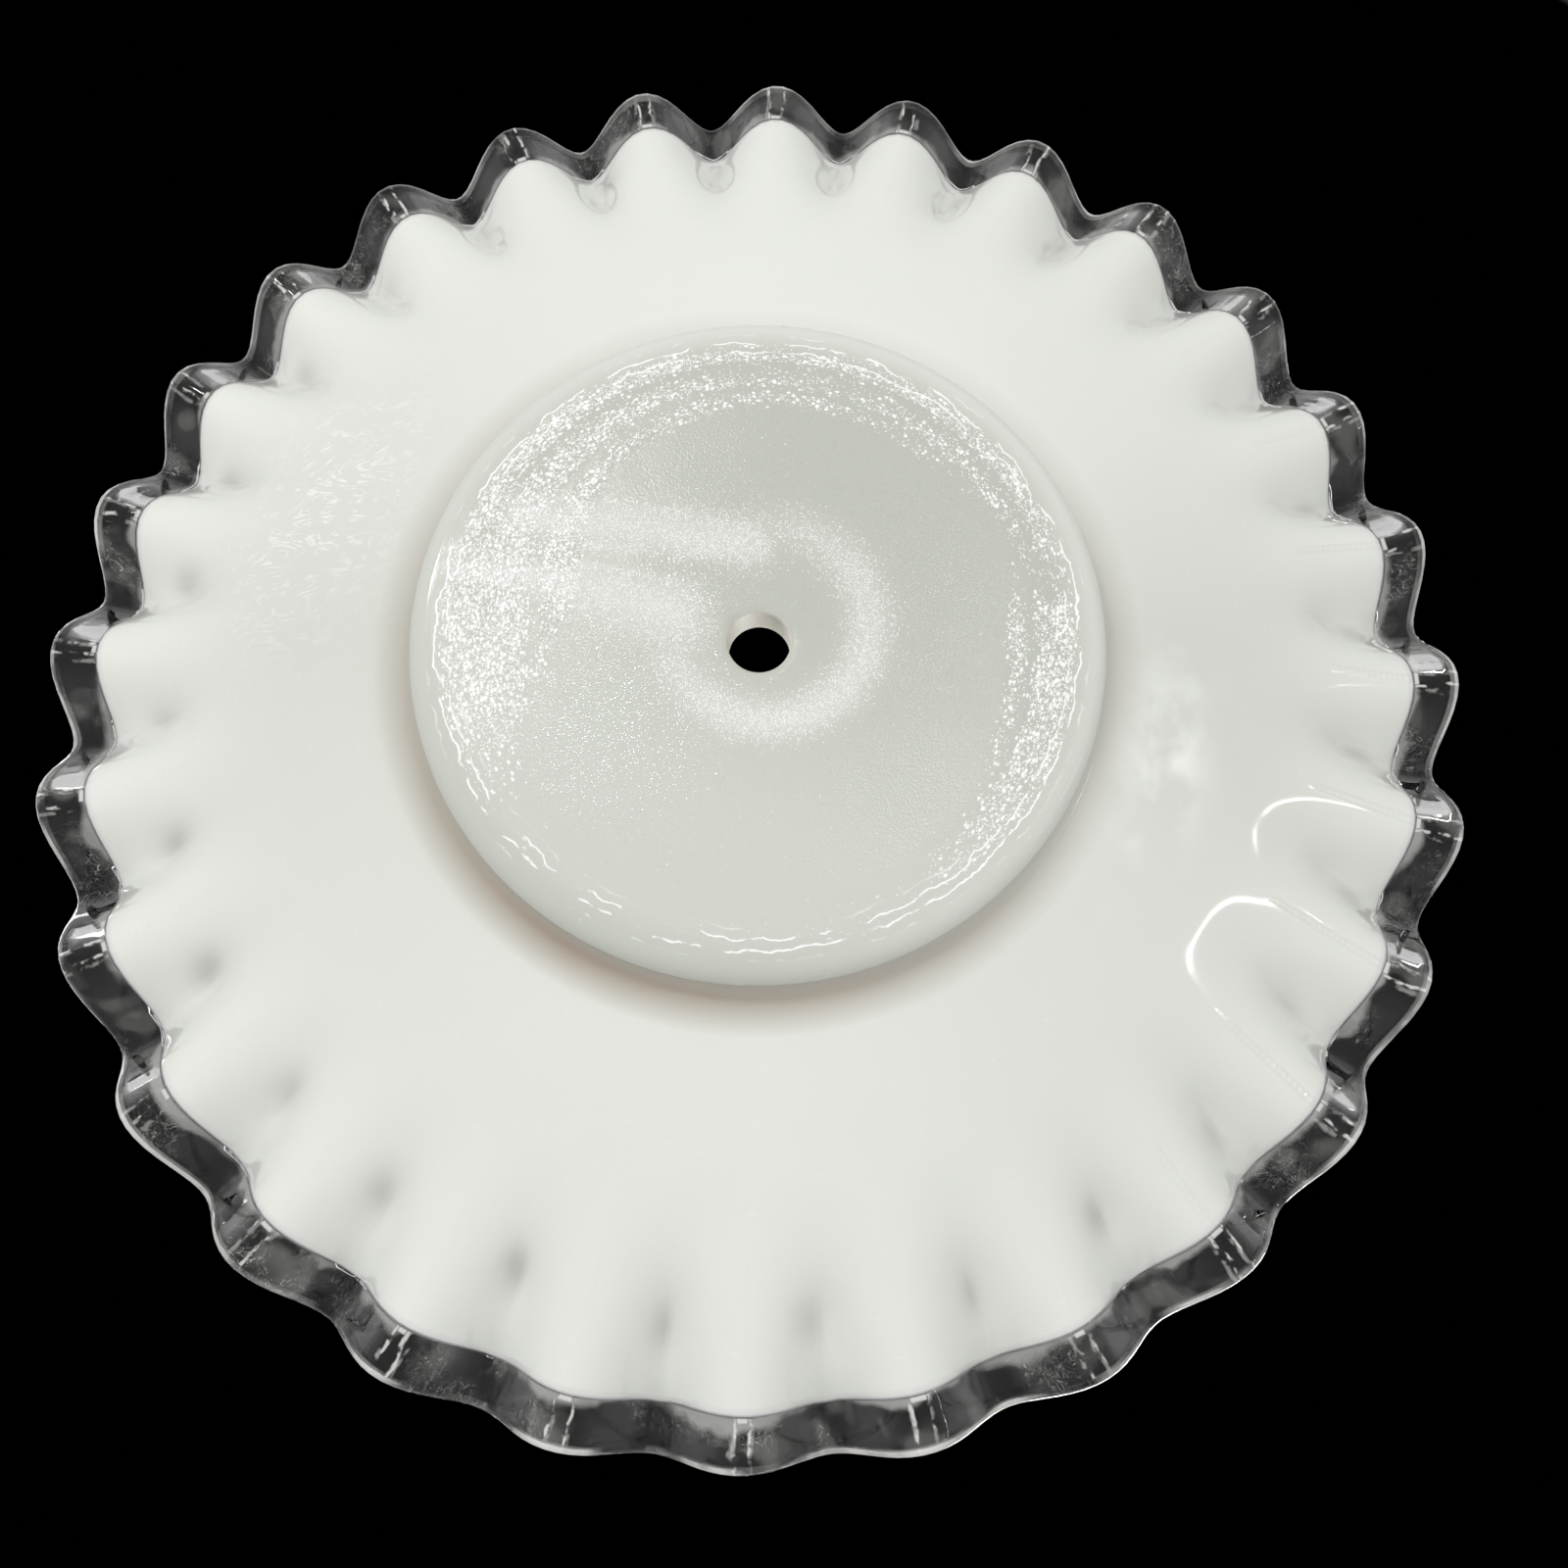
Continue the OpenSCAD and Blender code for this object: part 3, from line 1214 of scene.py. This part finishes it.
@dataclass(frozen=True)
class BloomFinish:
    """Fine scratches, a milky bloom and painted highlights on the clear glass.

    Radii are in metres. The shares say how opaque each kind of mark is.
    """

    milk: Colour = (0.80, 0.79, 0.77, 1.0)
    roughness: float = 0.4
    smear_share: float = 0.09
    cloud_share: float = 0.09
    thread_share: float = 0.8
    # Opacity of the painted highlight along the rim.
    rim_highlight_share: float = 0.7
    cut_share: float = 0.7
    root_share: float = 0.34
    glint_share: float = 0.75
    most_share: float = 0.8
    rim_r: float = 0.1618
    root_r: float = 0.1459
    glint_r: float = 0.1533

    def haze(self, graph: ShaderGraph, place: Socket) -> Socket:
        """Smears, soft clouds and fine scratches.

        Args:
            graph: the material's graph.
            place: where to read the patterns.

        Returns:
            How opaque they are.
        """
        smear = graph.band(graph.noise(place, scale=150.0, detail=5.0), 0.50, 0.74)
        rubbed = graph.band(graph.noise(place, scale=62.0, detail=2.0), 0.48, 0.64)
        streak = graph.noise(place, scale=230.0, detail=4.0, distortion=1.8)
        thread = graph.band(graph.math("ABSOLUTE", graph.minus(streak, 0.52)), 0.010, 0.003)
        thread = graph.times(thread, graph.noise(place, scale=150.0, detail=3.0))
        thread = graph.times(thread, rubbed)
        cloud = graph.band(graph.noise(place, scale=85.0, detail=1.0), 0.56, 0.66)
        haze = graph.times(graph.times(smear, rubbed), self.smear_share)
        haze = graph.plus(haze, graph.times(cloud, self.cloud_share))
        return graph.plus(haze, graph.times(thread, self.thread_share))

    def edges(self, graph: ShaderGraph, place: Socket, run: Socket) -> tuple[Socket, Socket]:
        """The outer rim's painted highlight, broken up by noise, and the milky root beside the white
        glass.

        Args:
            graph: the material's graph.
            place: where to read the patterns.
            run: the radius before crimping.

        Returns:
            How opaque the rim and the root are.
        """
        rim_breakup = graph.band(graph.noise(place, scale=55.0, detail=3.0), 0.40, 0.66)
        rim = graph.times(graph.band(run, self.rim_r - 0.0004, self.rim_r), rim_breakup)
        reach = graph.plus(run, graph.times(graph.noise(place, scale=60.0, detail=3.0), -0.013))
        root = graph.band(reach, self.root_r + 0.002, self.root_r)
        return graph.times(rim, self.rim_highlight_share), graph.times(root, self.root_share)

    def glints(
        self, graph: ShaderGraph, place: Socket, run: Socket, phase: Socket
    ) -> tuple[Socket, Socket]:
        """The cuts on both sides of each ridge, and a painted glint, a bright square, at its root.

        Args:
            graph: the material's graph.
            place: where to read the patterns.
            run: the radius before crimping.
            phase: the fold pattern's value.

        Returns:
            How opaque the cuts and the squares are.
        """
        bend = graph.plus(phase, graph.times(graph.noise(place, scale=160.0, detail=3.0), 0.5))
        cut = graph.band(graph.math("ABSOLUTE", graph.minus(bend, 0.55)), 0.10, 0.02)
        cut = graph.times(cut, graph.band(graph.noise(place, scale=330.0, detail=2.0), 0.46, 0.60))
        # Painted glint: a bright square at each ridge's root.
        root = graph.band(run, self.glint_r + 0.0005, self.glint_r)
        square = graph.times(graph.band(bend, 0.52, 0.42), root)
        return graph.times(cut, self.cut_share), graph.times(square, self.glint_share)

    def material(self, fold: bpy.types.NodeTree) -> bpy.types.Material:
        """Builds the bloom, clear but for its marks and painted highlights.

        Args:
            fold: the fold pattern, which places the glints at the ridges.

        Returns:
            The material.
        """
        made, graph, shader = new_material("glass_bloom_and_highlights")
        shader.inputs["Base Color"].default_value = self.milk
        shader.inputs["Roughness"].default_value = self.roughness
        shader.inputs["Specular IOR Level"].default_value = 0.0
        place = graph.add("ShaderNodeTexCoord").outputs["Object"]
        run = graph.mark(Mark.RUN)
        rim, root = self.edges(graph, place, run)
        cut, square = self.glints(graph, place, run, graph.group(fold, place))
        # The rim's painted highlight joins the haze.
        haze = graph.plus(self.haze(graph, place), rim)
        haze = graph.most(graph.plus(haze, cut), root)
        haze = graph.most(haze, square)
        graph.join(graph.math("MINIMUM", haze, self.most_share), shader.inputs["Alpha"])
        return made


@dataclass(frozen=True)
class Lamp:
    """One soft box that faces the plate, itself unseen from the camera.

    Its place and size are in metres, its power in watts, its roll about its own beam in degrees.
    """

    name: str
    at: tuple[float, float, float]
    size: tuple[float, float]
    power: float
    roll: float = 0.0
    mirrored: bool = True
    through_glass: bool = False
    aim: tuple[float, float, float] = (0.0, 0.0, 0.03)

    def hang(self) -> None:
        """Makes the lamp."""
        data = bpy.data.lights.new(self.name, "AREA")
        data.energy = self.power
        data.shape = "RECTANGLE"
        data.size, data.size_y = self.size
        made = bpy.data.objects.new(self.name, data)
        bpy.context.scene.collection.objects.link(made)
        made.location = self.at
        way = Vector(self.aim) - Vector(self.at)
        turn = way.to_track_quat("-Z", "Y") @ Quaternion((0, 0, 1), math.radians(self.roll))
        made.rotation_euler = turn.to_euler()
        made.visible_camera = False
        made.visible_glossy = self.mirrored
        made.visible_transmission = self.through_glass


SOFT_BOXES: tuple[Lamp, ...] = (
    Lamp("key_above", (-0.5, -0.6, 0.9), (0.5, 0.5), 8.5),
    Lamp("fill_above", (0.7, 0.2, 0.8), (0.6, 0.6), 3.8),
    Lamp("soft_below", (0.30, 0.20, -0.90), (0.9, 0.9), 3.2, mirrored=False),
    Lamp("key_below", (0.105, 0.275, -0.60), (0.03, 0.03), 0.2),
    Lamp("right_below", (-0.10, 0.195, -0.60), (0.03, 0.03), 0.05),
    Lamp("left_below", (0.34, 0.30, -0.60), (0.04, 0.04), 0.3),
    Lamp("front_below", (0.05, -0.30, -0.62), (0.05, 0.05), 0.5, mirrored=False),
    Lamp("side_below", (-0.669, -0.142, -0.267), (0.26, 0.009), 0.18, roll=-36.0),
    Lamp("tube_left", (0.5, -0.2, 0.5), (0.7, 0.012), 0.12, through_glass=True),
    Lamp("tube_right", (-0.55, 0.1, 0.5), (0.7, 0.012), 0.12, through_glass=True),
)


@dataclass(frozen=True)
class Studio:
    """Pale floor, soft light and the camera under the plate.

    The camera's place and aim and the floor's drop are in millimetres, the floor's radii in
    metres, and the height where the surround turns dark in degrees.
    """

    camera_at: tuple[float, float, float] = (-2.79, -78.32, -200.63)
    camera_aim: tuple[float, float, float] = (-5.35, -23.9, 34.8)
    lens: float = 24.75
    floor_drop: float = 0.3
    floor_r: float = 6.0
    floor_full_r: float = 0.35
    floor_end_r: float = 1.3
    floor_paint: Colour = (0.30, 0.30, 0.295, 1.0)
    floor_glow: Colour = (0.34, 0.34, 0.335, 1.0)
    pale: Colour = (0.80, 0.80, 0.79, 1.0)
    dark: Colour = (0.0, 0.0, 0.0, 1.0)
    pale_strength: float = 0.8
    pale_to: float = 33.0
    dark_from: float = 34.2
    lamps: tuple[Lamp, ...] = SOFT_BOXES

    def camera(self) -> None:
        """Places the camera under the front of the plate, looking up at its foot."""
        data = bpy.data.cameras.new("camera")
        data.lens = self.lens
        data.clip_start = 0.005
        made = bpy.data.objects.new("camera", data)
        bpy.context.scene.collection.objects.link(made)
        at = Vector(self.camera_at) * MM
        ahead = (Vector(self.camera_aim) * MM - at).normalized()
        right = ahead.cross(Vector((0, 1, 0))).normalized()
        turn = Matrix((right, right.cross(ahead), -ahead)).transposed().to_4x4()
        made.matrix_world = Matrix.Translation(at) @ turn
        bpy.context.scene.camera = made

    def floor(self) -> None:
        """Lays the pale floor, which only eyes above it see."""
        bm = bmesh.new()
        bmesh.ops.create_circle(bm, cap_ends=True, segments=96, radius=self.floor_r)
        bmesh.ops.translate(bm, verts=bm.verts, vec=(0, 0, -self.floor_drop * MM))
        mesh = bpy.data.meshes.new("floor")
        bm.to_mesh(mesh)
        bm.free()
        floor = bpy.data.objects.new("floor", mesh)
        bpy.context.scene.collection.objects.link(floor)
        mesh.materials.append(self.floor_material())

    def floor_material(self) -> bpy.types.Material:
        """Evenly pale floor that is there only for rays that come down on it to be seen.

        Returns:
            The material.
        """
        made, graph, shader = new_material("floor")
        made.node_tree.nodes.remove(shader)
        paint = graph.add("ShaderNodeBsdfDiffuse")
        paint.inputs["Color"].default_value = self.floor_paint
        glow = graph.add("ShaderNodeEmission")
        glow.inputs["Color"].default_value = self.floor_glow
        pale = graph.add("ShaderNodeAddShader")
        graph.join(paint.outputs[0], pale.inputs[0])
        graph.join(glow.outputs[0], pale.inputs[1])
        clear = graph.add("ShaderNodeBsdfTransparent")
        path = graph.add("ShaderNodeLightPath")
        seen = graph.most(path.outputs["Is Camera Ray"], path.outputs["Is Transmission Ray"])
        behind = graph.add("ShaderNodeNewGeometry").outputs["Backfacing"]
        shown = graph.times(seen, graph.minus(1.0, behind))
        away = graph.add("ShaderNodeVectorMath", operation="LENGTH")
        graph.join(graph.add("ShaderNodeTexCoord").outputs["Object"], away.inputs[0])
        near = graph.band(away.outputs["Value"], self.floor_end_r, self.floor_full_r)
        blend = graph.add("ShaderNodeMixShader")
        graph.join(graph.times(shown, near), blend.inputs[0])
        graph.join(clear.outputs[0], blend.inputs[1])
        graph.join(pale.outputs[0], blend.inputs[2])
        graph.join(blend.outputs[0], made.node_tree.nodes["Material Output"].inputs["Surface"])
        return made

    def surround(self) -> None:
        """Pale studio up to a third of the way to the zenith, dark above it."""
        world = bpy.data.worlds.new("studio")
        bpy.context.scene.world = world
        world.use_nodes = True
        graph = ShaderGraph(world.node_tree)
        back = world.node_tree.nodes["Background"]
        split = graph.add("ShaderNodeSeparateXYZ")
        graph.join(graph.add("ShaderNodeTexCoord").outputs["Generated"], split.inputs[0])
        low, high = (math.sin(math.radians(t)) for t in (self.pale_to, self.dark_from))
        share = graph.band(split.outputs["Z"], low, high)
        graph.join(graph.mix(share, self.pale, self.dark), back.inputs["Color"])
        back.inputs["Strength"].default_value = self.pale_strength

    def build(self) -> None:
        """Sets up the whole studio, with plain colours on the screen."""
        bpy.context.scene.view_settings.view_transform = "Standard"
        self.camera()
        self.floor()
        self.surround()
        for lamp in self.lamps:
            lamp.hang()
        LOG.info("studio: %d lamps", len(self.lamps))


def main() -> None:
    """Builds the studio, then the plate's two pieces of glass and the bloom, with its painted
    highlights, on one.
    """
    logging.basicConfig(level=logging.INFO, format="%(name)s: %(message)s")
    form = PlateForm()
    fold = FoldPattern(form).tree()
    Studio().build()
    opal = OpalFinish().material(fold)
    clear = ClearFinish().material()
    bloom = BloomFinish().material(fold)
    LOG.info("materials: %s, %s, %s", opal.name, clear.name, bloom.name)
    OpalBody("opal_body", form).dress(opal, "opal_glass", ["foot_and_well", "crimped_skirt"])
    ClearCrest("glass_crest", form).dress(clear, "clear_glass", ["clear_crest"])
    CrestBloom("crest_bloom_and_highlights", form).dress(bloom, "clear_glass", ["clear_crest"])


if __name__ == "__main__":
    main()
